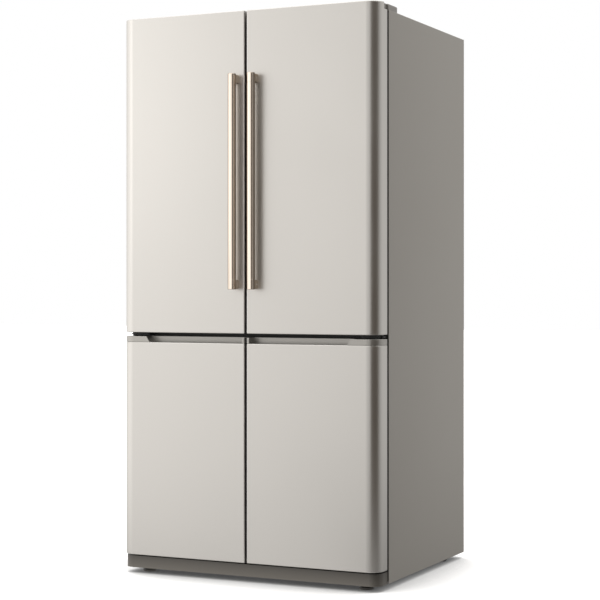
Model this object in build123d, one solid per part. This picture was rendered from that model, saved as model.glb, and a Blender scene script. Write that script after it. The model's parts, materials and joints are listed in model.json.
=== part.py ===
"""French door refrigerator with two fridge doors above two freezer doors.

Millimetres. X runs to the right as seen from the front, Y to the back, Z up, and the floor is z = 0.
Depths are counted back from the flat door faces, so the handles have negative depths.
Pieces that exist on both sides are modelled on the right and mirrored to the left.
"""
from build123d import *
import os

os.makedirs("parts", exist_ok=True)

# Whole appliance
width = 908
half_width = width / 2
back_depth = 760
handle_reach = 41
face_y = -(back_depth - handle_reach) / 2

# Doors
door_depth = 66
door_gap = 7
edge_radius = 3.5
corner_radius = 42
soft_edge = 3
sheet = 1
upper_low = 783
upper_high = 1800
lower_low = 61.5
lower_high = 770.5
lip_z = 752
liner_depth = 64
trough_front = 4.5
trough_back = 36
raised_depth = 84
cap_front = 12
cap_plate = 13
door_inner = door_gap / 2

# Hinges: one vertical line through all pins of a side
pin_x = 436
pin_depth = 57
pin_radius = 5
running_fit = 0.05
notch_x = 425
notch_front = 42
notch_floor = 1779
arm_half = 10

# Cabinet
cabinet_front = 79
cabinet_top = 1781
cabinet_low = 23
skirt_low = 19.5
panel = 2
wall_inside = 404
fridge_low = 804
fridge_high = 1720
freezer_low = 110
freezer_high = 750
mullion_half = 27
cavity_back = 700
step_depth = 510
step_z = 340
machine_roof = 281
machine_front = 560

# Handles of the upper doors
handle_x = 33.5
handle_axis_depth = -28
handle_radius = 13
handle_low = 922
handle_high = 1599
handle_end = 31.5
handle_seam = 0.6

# Plinth, feet and rollers
plinth_inset = 9
plinth_side_inset = 3
plinth_low = 18.5
plinth_high = 57
plinth_wall = 2.5
foot_x = 385
foot_depth = 67
foot_radius = 23
stem_radius = 6
roller_x = 415
roller_depth = 655
roller_radius = 18
roller_half = 10
axle_radius = 4

# Shelves, bins and drawers
glass = 4
shelf_levels = (1012, 1240, 1480)
shelf_front = 200
shelf_back = 662
freezer_shelf_z = 604
bin_levels = (1024, 1255, 1500)
bin_height = 96
bin_inner = 50
bin_outer = 390
bin_back = 170
drawer_outer = 383
crisper_front = 142
freezer_drawer_front = 122
drawer_wall = 3

# Hinged mullion on the left fridge door
mullion_x = -24
mullion_depth = 88
mullion_half_thick = 8
mullion_reach = 48
mullion_low = 811
mullion_high = 1713
mullion_pin = 3


def block(x_low, x_high, depth_low, depth_high, z_low, z_high):
    """Box given by its limits."""
    size = (x_high - x_low, depth_high - depth_low, z_high - z_low)
    middle = ((x_low + x_high) / 2, face_y + (depth_low + depth_high) / 2, (z_low + z_high) / 2)
    return Pos(*middle) * Box(*size)


def upright(x, depth, radius, z_low, z_high):
    """Cylinder that stands between two heights."""
    return Pos(x, face_y + depth, (z_low + z_high) / 2) * Cylinder(radius, z_high - z_low)


def crosswise(x_low, x_high, depth, radius, z):
    """Cylinder that lies along X."""
    return Pos((x_low + x_high) / 2, face_y + depth, z) * Rot(0, 90, 0) * Cylinder(radius, x_high - x_low)


def mirrored(shape):
    """The same shape on the other side of the appliance."""
    return mirror(shape, about=Plane.YZ)


def save(node, *shapes):
    """Write the solids of the given shapes as one node."""
    solids = [solid for shape in shapes for solid in shape.solids()]
    export_step(Compound(solids), f"parts/{node}.step")


def save_pair(node, *shapes):
    """Write right-hand shapes together with their mirror images as one node."""
    save(node, *shapes, *[mirrored(shape) for shape in shapes])


def save_each_side(node, *shapes):
    """Write right-hand shapes and their mirror images as two nodes."""
    save(f"{node}_right", *shapes)
    save(f"{node}_left", *[mirrored(shape) for shape in shapes])


def front_uprights(solid):
    """Vertical edges along the front of a solid, from left to right."""
    return solid.edges().filter_by(Axis.Z).group_by(Axis.Y)[0].sort_by(Axis.X)


def door_blank(inset, z_low, z_high, soft_low, soft_high):
    """Solid with the plan of a right-hand door: wide outer corner, and softened front rims."""
    solid = block(door_inner + inset, half_width - inset, inset, door_depth, z_low, z_high)
    solid = fillet(front_uprights(solid)[-1], corner_radius - inset)
    solid = fillet(front_uprights(solid)[0], edge_radius - inset)
    for place, soft in ((0, soft_low), (-1, soft_high)):
        if soft > 0:
            rim = solid.faces().sort_by(Axis.Z)[place].edges().sort_by(Axis.Y)[:-1]
            solid = fillet(rim, soft)
    return solid


def door_inside(z_low, z_high):
    """Space inside the sheet steel of a door that stands between two heights."""
    return door_blank(sheet, z_low + sheet, z_high - sheet, soft_edge - sheet, soft_edge - sheet)


def end_window(z_low, z_high, front_return):
    """Opening in the top or bottom of the steel, behind its front return."""
    return door_blank(soft_edge, z_low, z_high, 0, 0) - block(0, half_width, -1, front_return, z_low, z_high)


def door_skin(z_low, z_high, top_return, bottom_return):
    """Sheet steel front and sides, with returns around the top and bottom openings."""
    skin = door_blank(0, z_low, z_high, soft_edge, soft_edge) - door_inside(z_low, z_high)
    skin -= end_window(z_high - sheet, z_high + 1, top_return)
    return skin - end_window(z_low - 1, z_low + sheet, bottom_return)


def hinge_block(inset, z_low, z_high):
    """Solid outer corner of an end cap that holds a hinge pin."""
    return door_blank(inset, z_low, z_high, 0, 0) & block(405, half_width, 30, door_depth, z_low, z_high)


def cap_body(z_low, z_high, at_top):
    """Plate inside one end of a door, with a raised face that fills the opening in the steel."""
    if at_top:
        slab = (z_high - cap_plate, z_high)
        face = (z_high - sheet, z_high)
    else:
        slab = (z_low, z_low + cap_plate)
        face = (z_low, z_low + sheet)
    plate = door_inside(z_low, z_high) & block(0, half_width, cap_front, door_depth, *slab)
    return plate + end_window(*face, cap_front)


def pin_bore(z_low, z_high):
    """Hole for a hinge pin."""
    return upright(pin_x, pin_depth, pin_radius + running_fit, z_low, z_high)


def bottom_cap_blank(z_low):
    """Bottom end cap before its pin hole is made."""
    return cap_body(z_low, z_low + 100, False) + hinge_block(sheet, z_low + cap_plate, z_low + 29)


def bottom_cap(z_low):
    """Bottom end cap of any door."""
    return bottom_cap_blank(z_low) - pin_bore(z_low - 1, z_low + 25)


def raised_panel(inset, z_low, z_high):
    """Raised middle of the inner side of a door."""
    return block(45 + inset, 391 - inset, liner_depth, raised_depth - inset, z_low + inset, z_high - inset)


def door_liner(z_low, z_high, panel_low, panel_high):
    """Plastic inner side of a door."""
    plate = door_blank(sheet, z_low, z_high, 0, 0)
    plate -= block(0, half_width, -1, liner_depth, z_low, z_high)
    return plate + raised_panel(0, panel_low, panel_high) - raised_panel(panel, panel_low, panel_high)


def gasket(low_bar, high_bar):
    """Magnetic gasket: two upright bars and two level bars between them."""
    front = door_depth
    back = cabinet_front - 0.4
    z_low = low_bar
    z_high = high_bar + 14
    bars = [block(6, 20, front, back, z_low, z_high), block(412, 430, front, back, z_low, z_high)]
    bars += [block(20, 412, front, back, z, z + 14) for z in (low_bar, high_bar)]
    return bars


def top_cap_blank():
    """Top end cap of an upper door before the notch and the pin hole are made."""
    return cap_body(upper_high - 100, upper_high, True) + hinge_block(sheet, 1750, upper_high - cap_plate)


def hinge_notch():
    """Space in the top rear corner of an upper door for the hinge arm."""
    return block(notch_x, half_width + 1, notch_front, door_depth + 1, notch_floor, upper_high + 1)


def handle():
    """Tube of a handle, and its two end pieces with the stems that reach the door."""
    low = handle_low + handle_end + handle_seam
    high = handle_high - handle_end - handle_seam
    tube = upright(handle_x, handle_axis_depth, handle_radius - 0.4, low - 6, high + 6)
    tube += upright(handle_x, handle_axis_depth, handle_radius, low, high)
    ends = []
    for z_low in (handle_low, handle_high - handle_end):
        end = upright(handle_x, handle_axis_depth, handle_radius, z_low, z_low + handle_end)
        end = fillet(end.edges().filter_by(GeomType.CIRCLE), 1.8)
        stem = block(handle_x - 11, handle_x + 11, handle_axis_depth, 0, z_low + 2, z_low + handle_end - 2)
        stem = fillet(stem.edges().filter_by(Axis.Y), 6)
        ends.append(end + stem - tube)
    return tube, ends


def door_bin(z_low):
    """Open tray on the inner side of an upper door."""
    z_high = z_low + bin_height
    tray = block(bin_inner, bin_outer, raised_depth, bin_back, z_low, z_high)
    tray = fillet(tray.edges().filter_by(Axis.Z).group_by(Axis.Y)[-1], 14)
    hollow = block(bin_inner + 3, bin_outer - 3, raised_depth + 3, bin_back - 3, z_low + 3, z_high + 1)
    hollow = fillet(hollow.edges().filter_by(Axis.Z).group_by(Axis.Y)[-1], 11)
    return tray - hollow


def drawer(x_low, depth_low, depth_high, z_low, z_high):
    """Open drawer with a finger scoop in its front wall."""
    wall = drawer_wall
    body = block(x_low, drawer_outer, depth_low, depth_high, z_low, z_high)
    body = fillet(body.edges().filter_by(Axis.Z), 10)
    front = depth_low + 2 * wall
    hollow = block(x_low + wall, drawer_outer - wall, front, depth_high - wall, z_low + wall, z_high + 1)
    hollow = fillet(hollow.edges().filter_by(Axis.Z), 8)
    middle = (x_low + drawer_outer) / 2
    scoop = block(middle - 60, middle + 60, depth_low - 1, front + 1, z_high - 24, z_high + 20)
    scoop = fillet(scoop.edges().filter_by(Axis.Y).group_by(Axis.Z)[0], 20)
    return body - hollow - scoop


def upper_doors():
    """Fridge doors with handles, bins and, on the left, the arms of the hinged mullion."""
    panel_low = 812
    panel_high = 1712
    liner_low = upper_low + cap_plate
    liner_high = upper_high - cap_plate
    save_each_side("upper_door_skin", door_skin(upper_low, upper_high, cap_front, cap_front) - hinge_notch())
    core = door_inside(upper_low, upper_high)
    core -= block(0, half_width, liner_depth, door_depth + 1, upper_low, upper_high)
    core -= top_cap_blank()
    core -= bottom_cap_blank(upper_low)
    core += raised_panel(panel, panel_low, panel_high)
    save_each_side("upper_door_core", core)
    top_cap = top_cap_blank() - hinge_notch() - pin_bore(1752, upper_high)
    liner = door_liner(liner_low, liner_high, panel_low, panel_high)
    liner -= top_cap_blank()
    liner -= bottom_cap_blank(upper_low)
    save_each_side("upper_door_end_caps", top_cap, bottom_cap(upper_low))
    save("upper_door_liner_right", liner)
    save("upper_door_liner_left", mirrored(liner) + mullion_arms())
    save_each_side("upper_door_gasket", *gasket(786, 1748))
    tube, ends = handle()
    save_each_side("handle_tube", tube)
    save_each_side("handle_ends", *ends)
    save_each_side("door_bins", *[door_bin(z) for z in bin_levels])


def mullion_arms():
    """Arms on the left door liner that hold the pins of the hinged mullion."""
    arms = block(-31, -20.5, liner_depth, mullion_depth + 5, 806.5, mullion_low - 0.5)
    arms += block(-31, -20.5, liner_depth, mullion_depth + 5, mullion_high + 0.5, mullion_high + 4.5)
    return arms - upright(mullion_x, mullion_depth, mullion_pin + running_fit, 806, mullion_high + 5)


def hinged_mullion():
    """Narrow strip that folds back along the left door and turns across the gap when the doors close."""
    strip = upright(mullion_x, mullion_depth, mullion_half_thick, mullion_low, mullion_high)
    left = mullion_x - mullion_half_thick
    right = mullion_x + mullion_half_thick
    strip += block(left, right, mullion_depth, mullion_depth + mullion_reach, mullion_low, mullion_high)
    strip = fillet(strip.edges().filter_by(Axis.Z).group_by(Axis.Y)[-1], 2)
    strip += upright(mullion_x, mullion_depth, mullion_pin, 806.5, mullion_high + 4.5)
    save("hinged_mullion", strip)


def pull_moulding_blank():
    """Top moulding of a lower door before its trough is cut."""
    neck_high = lip_z + 1.2
    moulding = door_blank(0, neck_high, lower_high, 0, 2)
    moulding += door_blank(1.5, lip_z, neck_high, 0, 0)
    moulding += block(10, 352, sheet, 38, 720, lip_z - soft_edge)
    moulding += block(10, 352, soft_edge, 38, 720, lip_z)
    return moulding + hinge_block(soft_edge, 735, lip_z)


def pull_trough():
    """Space for the fingers behind the steel lip, open to the top, with a slanted outer end."""
    outline = Polyline((12, 722), (331, 722), (361.6, lower_high + 1), (12, lower_high + 1), close=True)
    plane = Plane(origin=(0, face_y + trough_front, 0), x_dir=(1, 0, 0), z_dir=(0, -1, 0))
    trough = extrude(plane * make_face(outline), amount=trough_front - trough_back)
    bottom = trough.edges().filter_by(Axis.X).group_by(Axis.Z)[0]
    trough = fillet(bottom, 8)
    above = Polyline((12, lip_z), (348.9, lip_z), (361.6, lower_high + 1), (12, lower_high + 1), close=True)
    plane = Plane(origin=(0, face_y - 1, 0), x_dir=(1, 0, 0), z_dir=(0, -1, 0))
    return trough + extrude(plane * make_face(above), amount=-trough_front - 2)


def lower_doors():
    """Freezer doors, with the pocket pull in the top moulding."""
    panel_low = 125
    panel_high = 735
    save_each_side("lower_door_skin", door_skin(lower_low, lip_z, soft_edge, cap_front))
    blank = pull_moulding_blank()
    core = door_inside(lower_low, lip_z)
    core -= block(0, half_width, liner_depth, door_depth + 1, lower_low, lip_z)
    core -= blank
    core -= bottom_cap_blank(lower_low)
    core += raised_panel(panel, panel_low, panel_high)
    save_each_side("lower_door_core", core)
    moulding = blank - pull_trough() - pin_bore(748, lower_high + 1)
    save_each_side("lower_door_end_caps", moulding, bottom_cap(lower_low))
    liner = door_liner(lower_low + cap_plate, lip_z - soft_edge, panel_low, panel_high)
    liner -= blank
    liner -= bottom_cap_blank(lower_low)
    save_each_side("lower_door_liner", liner)
    save_each_side("lower_door_gasket", *gasket(88, 753))


def cabinet():
    """Outer shell, front frame, back panel and base of the cabinet."""
    rear = back_depth - panel
    shell = block(-half_width, half_width, cabinet_front, rear, skirt_low, cabinet_top)
    shell = fillet(shell.edges().filter_by(Axis.Y).group_by(Axis.Z)[-1], 3)
    inside = half_width - sheet
    room = block(-inside, inside, cabinet_front - 1, rear + 1, skirt_low - 1, cabinet_top - sheet)
    room = fillet(room.edges().filter_by(Axis.Y).group_by(Axis.Z)[-1], 2)
    save("cabinet_outer_shell", shell - room)
    frame = block(-inside, inside, cabinet_front, cabinet_front + 1, 26, 1777)
    frame -= block(-wall_inside, wall_inside, 78, 81, fridge_low, fridge_high)
    for side in (-1, 1):
        x_low, x_high = sorted((side * mullion_half, side * wall_inside))
        frame -= block(x_low, x_high, 78, 81, freezer_low, freezer_high)
    save("cabinet_front_frame", frame)
    save("cabinet_back_panel", block(-half_width, half_width, rear, back_depth, 284, cabinet_top))
    cover = block(-half_width, half_width, rear, back_depth, 26, 283)
    for x in (-330, -110, 110, 330):
        for z in range(120, 260, 16):
            cover -= block(x - 80, x + 80, rear - 1, back_depth + 1, z, z + 7)
    cover -= block(-50, 50, rear - 1, back_depth + 1, 45, 95)
    save("machine_cover", cover)
    inlet = block(-50, 50, 744, back_depth - 0.5, 45, 95)
    inlet -= block(-14, 14, 748, back_depth, 60, 80)
    inlet -= block(-60, 60, 743, rear - 0.2, 92, 96)
    save("power_inlet", inlet)


def base_pan():
    """Base plate with the fixed brackets and axles of the rear rollers."""
    pan = block(-half_width + sheet, half_width - sheet, cabinet_front + 1, back_depth, cabinet_low, 26)
    for side in (-1, 1):
        middle = side * roller_x
        pan -= block(middle - 12, middle + 12, roller_depth - 23, roller_depth + 23, 20, 30)
        for cheek in (-12.5, 12.5):
            x = middle + cheek
            pan += block(x - 1.5, x + 1.5, roller_depth - 16, 742, 9, cabinet_low)
        pan += crosswise(middle - 14, middle + 14, roller_depth, axle_radius, roller_radius)
    save("cabinet_base_pan", pan)


def insulation():
    """Foam of the cabinet as straight slabs that meet face to face."""
    outer = half_width - sheet
    inner = wall_inside + 1
    front = cabinet_front + 1
    rear = back_depth - panel
    back = cavity_back + 1
    slabs = [
        block(inner, outer, front, machine_front, 26, 1777),
        block(-outer, -inner, front, machine_front, 26, 1777),
        block(inner, outer, machine_front, rear, 60, 1777),
        block(-outer, -inner, machine_front, rear, 60, 1777),
        block(-inner, inner, front, rear, fridge_high + 1, cabinet_top - sheet),
        block(-inner, inner, back, rear, step_z - 1, fridge_high + 1),
        block(-inner, inner, front, back, freezer_high + 1, fridge_low - 1),
        block(-26, 26, front, step_depth + 1, 109, freezer_high + 1),
        block(-26, 26, step_depth + 1, back, step_z - 1, freezer_high + 1),
        block(-inner, inner, front, machine_front, 60, 109),
        block(-inner, inner, step_depth + 1, machine_front, 109, step_z - 1),
        block(-inner, inner, machine_front, rear, machine_roof, step_z - 1),
    ]
    save("cabinet_insulation", *slabs)


def fridge_liner():
    """White lining of the fridge space, with ledges under the shelves."""
    front = cabinet_front + 1
    outer = block(-wall_inside - 1, wall_inside + 1, front, cavity_back + 1, fridge_low - 1, fridge_high + 1)
    outer = fillet(outer.edges().filter_by(Axis.Y), 13)
    inner = block(-wall_inside, wall_inside, front - 1, cavity_back, fridge_low, fridge_high)
    inner = fillet(inner.edges().filter_by(Axis.Y), 12)
    liner = outer - inner
    for z in shelf_levels:
        for side in (-1, 1):
            x_low, x_high = sorted((side * 392, side * (wall_inside + 0.5)))
            liner += block(x_low, x_high, shelf_front + 10, shelf_back, z - 9, z - 0.5)
    save("fridge_liner", liner)


def stepped_prism(x_low, x_high, grow):
    """Freezer space: shallow at the bottom, where the machine compartment takes the rear."""
    front = face_y + cabinet_front + 1
    back = face_y + cavity_back + grow
    step = face_y + step_depth + grow
    low = freezer_low - grow
    high = freezer_high + grow
    outline = Polyline(
        (front, low), (step, low), (step, step_z - grow), (back, step_z - grow), (back, high), (front, high), close=True
    )
    plane = Plane(origin=(x_low, 0, 0), x_dir=(0, 1, 0), z_dir=(1, 0, 0))
    return extrude(plane * make_face(outline), amount=x_high - x_low)


def freezer_liners():
    """White linings of the two freezer spaces, with ledges for the drawers and the shelf."""
    outer = stepped_prism(mullion_half - 1, wall_inside + 1, 1)
    inner = stepped_prism(mullion_half, wall_inside, 0)
    liner = outer - inner
    for z, depth in ((140, 495), (372, 636), (freezer_shelf_z - 9, 636)):
        liner += block(384.5, wall_inside + 0.5, 130, depth, z, z + 8)
        liner += block(mullion_half - 0.5, 33.5, 130, depth, z, z + 8)
    save_pair("freezer_liners", liner)


def shelves():
    """Glass plates and their trims."""
    plates = []
    trims = []
    for z in shelf_levels:
        plate = block(5, 399, shelf_front, shelf_back, z, z + glass)
        plates.append(plate)
        trims.append(block(4, 400, shelf_front - 8, shelf_front + 8, z - 4, z + 9) - plate)
        trims.append(block(4, 391, shelf_back - 6, shelf_back + 5, z - 4, z + 7) - plate)
    plates.append(block(28, 403, 150, 640, freezer_shelf_z, freezer_shelf_z + glass))
    save_pair("glass_shelves", *plates)
    save_pair("shelf_trims", *trims)


def cold_air_parts():
    """Air duct in the fridge, back panels and evaporator in the freezer."""
    duct = block(-90, 90, 672, cavity_back, 1024, 1700)
    duct -= block(-87, 87, 675, cavity_back + 1, 1027, 1697)
    for z in range(1080, 1680, 90):
        for x in (-50, 50):
            duct -= block(x - 22, x + 22, 670, 676, z, z + 8)
    save("air_duct", duct)
    cover = block(29, 402, 648, 651, 343, 748)
    for z in (380, 400, 700, 720):
        cover -= block(120, 310, 647, 652, z, z + 8)
    save_pair("freezer_back_panels", cover)
    coil = block(110, 330, 665, 690, 430, 431.2)
    for step in range(1, 16):
        coil += block(110, 330, 665, 690, 430 + 16 * step, 431.2 + 16 * step)
    for x in range(130, 330, 45):
        coil += upright(x, 677.5, 4, 415, 690)
    for x in (130, 220):
        coil += block(x - 4, x + 49, 673.5, 681.5, 690, 698)
    save("evaporator_coil", coil)


def machine_parts():
    """Compressor, condenser, fan shroud and fan in the space behind the freezer step."""
    pot = upright(-235, 655, 74, 66, 228)
    pot = fillet(pot.edges().filter_by(GeomType.CIRCLE), 36)
    pot += block(-325, -145, 590, 720, 48, 52) + upright(-235, 655, 50, 50, 90)
    for x in (-305, -165):
        for depth in (610, 700):
            pot += upright(x, depth, 13, 26, 49)
    save("compressor", pot)
    coil = block(110, 111.2, 600, 725, 50, 240)
    for step in range(1, 14):
        coil += block(110 + 16 * step, 111.2 + 16 * step, 600, 725, 50, 240)
    for z in range(70, 240, 36):
        for depth in (630, 695):
            coil += crosswise(95, 333, depth, 5, z)
    coil += block(118, 318, 655, 670, 26, 52)
    save("condenser_coil", coil)
    shroud = block(20, 60, 578, 742, 40, 204) - crosswise(10, 70, 660, 76, 122)
    shroud += block(20, 60, 600, 720, 26, 41)
    shroud += block(2, 8, 650, 670, 40, 204) + block(2, 21, 650, 670, 40, 47) + block(2, 21, 650, 670, 197, 204)
    shroud += crosswise(-24, 12, 660, 26, 122) + crosswise(10, 44, 660, 3, 122)
    save("condenser_fan_shroud", shroud)
    fan = crosswise(25, 50, 660, 18, 122)
    for turn in range(5):
        blade = Pos(37.5, 0, 44) * Rot(0, 0, 35) * Box(1.6, 26, 56)
        fan += Pos(0, face_y + 660, 122) * Rot(72 * turn, 0, 0) * blade
    save("condenser_fan", fan - crosswise(20, 46, 660, 3 + running_fit, 122))


def arm_outline(z_low, z_high):
    """Hinge arm with a round nose about the pin, reaching back over the cabinet."""
    nose = upright(pin_x, pin_depth, arm_half, z_low, z_high)
    return nose + block(pin_x - arm_half, pin_x + arm_half, pin_depth, 90, z_low, z_high)


def top_hinges():
    """Top brackets with their pins, and the covers over them."""
    plate = arm_outline(cabinet_top, cabinet_top + 3)
    plate += block(376, pin_x + arm_half, 84, 146, cabinet_top, cabinet_top + 3)
    plate += upright(pin_x, pin_depth, pin_radius, 1754, cabinet_top + 1)
    for x, depth in ((390, 98), (390, 132), (430, 132)):
        plate += upright(x, depth, 6, cabinet_top + 2, cabinet_top + 7)
    save_pair("top_hinge_brackets", plate)
    high = upper_high - 0.2
    wall = 2.5
    cover = block(366, 452, 80, 161, cabinet_top, high)
    cover = fillet(cover.edges().filter_by(Axis.Z).group_by(Axis.Y)[-1], 12)
    cover = fillet(cover.faces().sort_by(Axis.Z)[-1].edges(), 4)
    room = block(366 + wall, 452 - wall, 80 + wall, 161 - wall, cabinet_top - 1, high - wall)
    cover -= fillet(room.edges().filter_by(Axis.Z).group_by(Axis.Y)[-1], 12 - wall)
    cover += arm_outline(cabinet_top + 3, high - 1) - block(300, 500, 83, 200, 1700, 1900)
    cover -= block(pin_x - arm_half, pin_x + arm_half, 79, 83, cabinet_top - 1, cabinet_top + 3)
    save_pair("top_hinge_covers", cover)


def middle_hinges():
    """Brackets between the doors, with a pin up and a pin down."""
    low = 774.5
    high = 778.5
    plate = block(372, 448, pin_depth - 12, cabinet_front, low, high)
    plate = fillet(front_uprights(plate), 10)
    plate += block(380, 448, cabinet_front - 3, cabinet_front, 771.5, 782)
    plate += upright(pin_x, pin_depth, pin_radius, 751, upper_low + 22)
    plate += upright(pin_x, pin_depth, 8, lower_high + 1, upper_low - 1)
    save_pair("middle_hinge_brackets", plate)


def bottom_hinges():
    """Brackets under the lower doors, with a pin up and the socket of a levelling foot."""
    low = 50
    high = 54
    plate = block(362, 442, pin_depth - 12, cabinet_front, low, high)
    plate = fillet(front_uprights(plate), 5)
    plate += block(362, 441, cabinet_front - 3, cabinet_front, 28, high)
    plate += upright(pin_x, pin_depth, pin_radius, low + 1, lower_low + 22)
    socket = upright(foot_x, foot_depth, 9.5, 34, low + 1)
    bore = upright(foot_x, foot_depth, stem_radius + running_fit, 20, 60)
    save_pair("bottom_hinge_brackets", plate + socket - bore)


def kick_plate():
    """Plinth cover that follows the doors' plan, set back in front and nearly flush at its sides."""
    side = half_width - plinth_side_inset
    cover = block(-side, side, plinth_inset, cabinet_front - 2, plinth_low, plinth_high)
    cover = fillet(front_uprights(cover), corner_radius - plinth_inset)
    inside = side - plinth_wall
    front = plinth_inset + plinth_wall
    room = block(-inside, inside, front, cabinet_front, plinth_low - 1, plinth_high - plinth_wall)
    room = fillet(front_uprights(room), corner_radius - front)
    cover -= room
    for side in (-1, 1):
        cover -= upright(side * pin_x, pin_depth, 6.4, plinth_low, plinth_high + 1)
    save("kick_plate", cover)


def feet_and_rollers():
    """Levelling feet in front and rollers behind."""
    disc = upright(foot_x, foot_depth, foot_radius, 0, 8)
    disc = fillet(disc.edges().filter_by(GeomType.CIRCLE).sort_by(Axis.Z)[-1], 3)
    foot = disc + upright(foot_x, foot_depth, 17, 7, 12)
    foot += upright(foot_x, foot_depth, stem_radius, 11, 53.5)
    save_each_side("front_foot", foot)
    wheel = crosswise(roller_x - roller_half, roller_x + roller_half, roller_depth, roller_radius, roller_radius)
    wheel = fillet(wheel.edges().filter_by(GeomType.CIRCLE), 1.5)
    wheel -= crosswise(roller_x - 20, roller_x + 20, roller_depth, axle_radius + running_fit, roller_radius)
    save_each_side("rear_roller", wheel)


def drawers():
    """Crisper drawers in the fridge and drawers in the freezer."""
    save_each_side("crisper_drawer", drawer(6, crisper_front, 640, 812, 1002))
    save_each_side("freezer_drawer_upper", drawer(35, freezer_drawer_front, 636, 384, 590))
    save_each_side("freezer_drawer_lower", drawer(35, freezer_drawer_front, 495, 152, 330))


upper_doors()
hinged_mullion()
lower_doors()
cabinet()
base_pan()
insulation()
fridge_liner()
freezer_liners()
shelves()
cold_air_parts()
machine_parts()
top_hinges()
middle_hinges()
bottom_hinges()
kick_plate()
feet_and_rollers()
drawers()
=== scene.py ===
"""French door refrigerator: materials, fine detail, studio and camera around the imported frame."""

import json
import math

import bmesh
import bpy
from mathutils import Matrix, Vector


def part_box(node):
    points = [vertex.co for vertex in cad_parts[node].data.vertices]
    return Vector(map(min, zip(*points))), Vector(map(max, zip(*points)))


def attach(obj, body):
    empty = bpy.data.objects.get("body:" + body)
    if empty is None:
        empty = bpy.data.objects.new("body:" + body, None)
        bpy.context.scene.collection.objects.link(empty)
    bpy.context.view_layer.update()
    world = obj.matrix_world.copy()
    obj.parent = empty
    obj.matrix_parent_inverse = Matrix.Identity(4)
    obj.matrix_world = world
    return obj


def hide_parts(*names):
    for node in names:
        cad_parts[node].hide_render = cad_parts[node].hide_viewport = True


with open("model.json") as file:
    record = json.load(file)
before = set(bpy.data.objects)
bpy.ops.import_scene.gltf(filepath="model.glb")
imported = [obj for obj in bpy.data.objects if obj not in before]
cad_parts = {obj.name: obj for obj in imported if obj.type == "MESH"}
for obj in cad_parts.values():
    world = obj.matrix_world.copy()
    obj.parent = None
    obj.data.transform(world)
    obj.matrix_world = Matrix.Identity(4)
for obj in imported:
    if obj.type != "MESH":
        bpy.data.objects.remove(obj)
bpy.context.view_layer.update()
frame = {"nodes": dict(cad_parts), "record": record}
nodes = frame["nodes"]
MM = 0.001
SIDES = (("left", -1), ("right", 1))


# ---------------------------------------------------------------- node materials

class Shader:
    """A node material in the making, with one Principled shader."""

    def __init__(self, name):
        self.material = bpy.data.materials.new(name)
        self.material.use_nodes = True
        self.tree = self.material.node_tree
        self.tree.nodes.clear()
        self.output = self.tree.nodes.new("ShaderNodeOutputMaterial")
        self.surface = self.tree.nodes.new("ShaderNodeBsdfPrincipled")
        self.tree.links.new(self.surface.outputs["BSDF"], self.output.inputs["Surface"])
        self.place = self.tree.nodes.new("ShaderNodeTexCoord").outputs["Object"]

    def node(self, kind, **settings):
        made = self.tree.nodes.new(kind)
        for key, value in settings.items():
            setattr(made, key, value)
        return made

    def link(self, source, target):
        self.tree.links.new(source, target)

    def stretched(self, scale):
        mapping = self.node("ShaderNodeMapping")
        mapping.inputs["Scale"].default_value = scale
        self.link(self.place, mapping.inputs["Vector"])
        return mapping.outputs["Vector"]

    def noise(self, scale, detail=3.0, roughness=0.5, stretch=(1, 1, 1)):
        made = self.node("ShaderNodeTexNoise")
        made.inputs["Scale"].default_value = scale
        made.inputs["Detail"].default_value = detail
        made.inputs["Roughness"].default_value = roughness
        self.link(self.stretched(stretch), made.inputs["Vector"])
        return made.outputs["Fac"]

    def ramp(self, factor, low, high, start=0.3, end=0.7):
        made = self.node("ShaderNodeValToRGB")
        made.color_ramp.elements[0].position = start
        made.color_ramp.elements[1].position = end
        made.color_ramp.elements[0].color = (*low, 1)
        made.color_ramp.elements[1].color = (*high, 1)
        self.link(factor, made.inputs["Fac"])
        return made.outputs["Color"]

    def span(self, factor, low, high, start=0.3, end=0.7):
        made = self.node("ShaderNodeMapRange")
        made.inputs["From Min"].default_value = start
        made.inputs["From Max"].default_value = end
        made.inputs["To Min"].default_value = low
        made.inputs["To Max"].default_value = high
        self.link(factor, made.inputs["Value"])
        return made.outputs["Result"]

    def colour(self, low, high, factor):
        self.link(self.ramp(factor, low, high), self.surface.inputs["Base Color"])

    def roughness(self, low, high, factor):
        self.link(self.span(factor, low, high), self.surface.inputs["Roughness"])

    def bump(self, height, distance):
        made = self.node("ShaderNodeBump")
        made.inputs["Distance"].default_value = distance
        self.link(height, made.inputs["Height"])
        self.link(made.outputs["Normal"], self.surface.inputs["Normal"])

    def set(self, **values):
        for key, value in values.items():
            self.surface.inputs[key.replace("_", " ")].default_value = value


# Scales of the noise that gives materials their life, in cycles per metre.
DRIFT = 2.2            # slow change of tone over a panel
FLAKE = 900            # metal flake in paint
ORANGE_PEEL = 420      # unevenness of sprayed paint
DRAWN = 140            # lines of drawn metal, before they are stretched along it


def shade(colour, factor):
    """A colour made lighter or darker."""
    return tuple(channel * factor for channel in colour)


def painted_metal(name, colour, rough, metallic, coat=0.0, grain=FLAKE, drift=0.03, bump=0.00002):
    """Sprayed metal: fine flake grain, slight orange peel and slow drift of tone."""
    made = Shader(name)
    flake = made.noise(grain, 2.0)
    slow = made.noise(DRIFT, 2.0)
    tone = made.node("ShaderNodeMix", data_type="FLOAT")
    tone.inputs["Factor"].default_value = 0.5
    made.link(flake, tone.inputs["A"])
    made.link(slow, tone.inputs["B"])
    made.colour(shade(colour, 1 - drift), shade(colour, 1 + drift), tone.outputs["Result"])
    made.roughness(rough - 0.03, rough + 0.03, slow)
    made.bump(made.noise(ORANGE_PEEL, 2.0), bump)
    made.set(Metallic=metallic, Coat_Weight=coat, Coat_Roughness=0.12)
    return made.material


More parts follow.
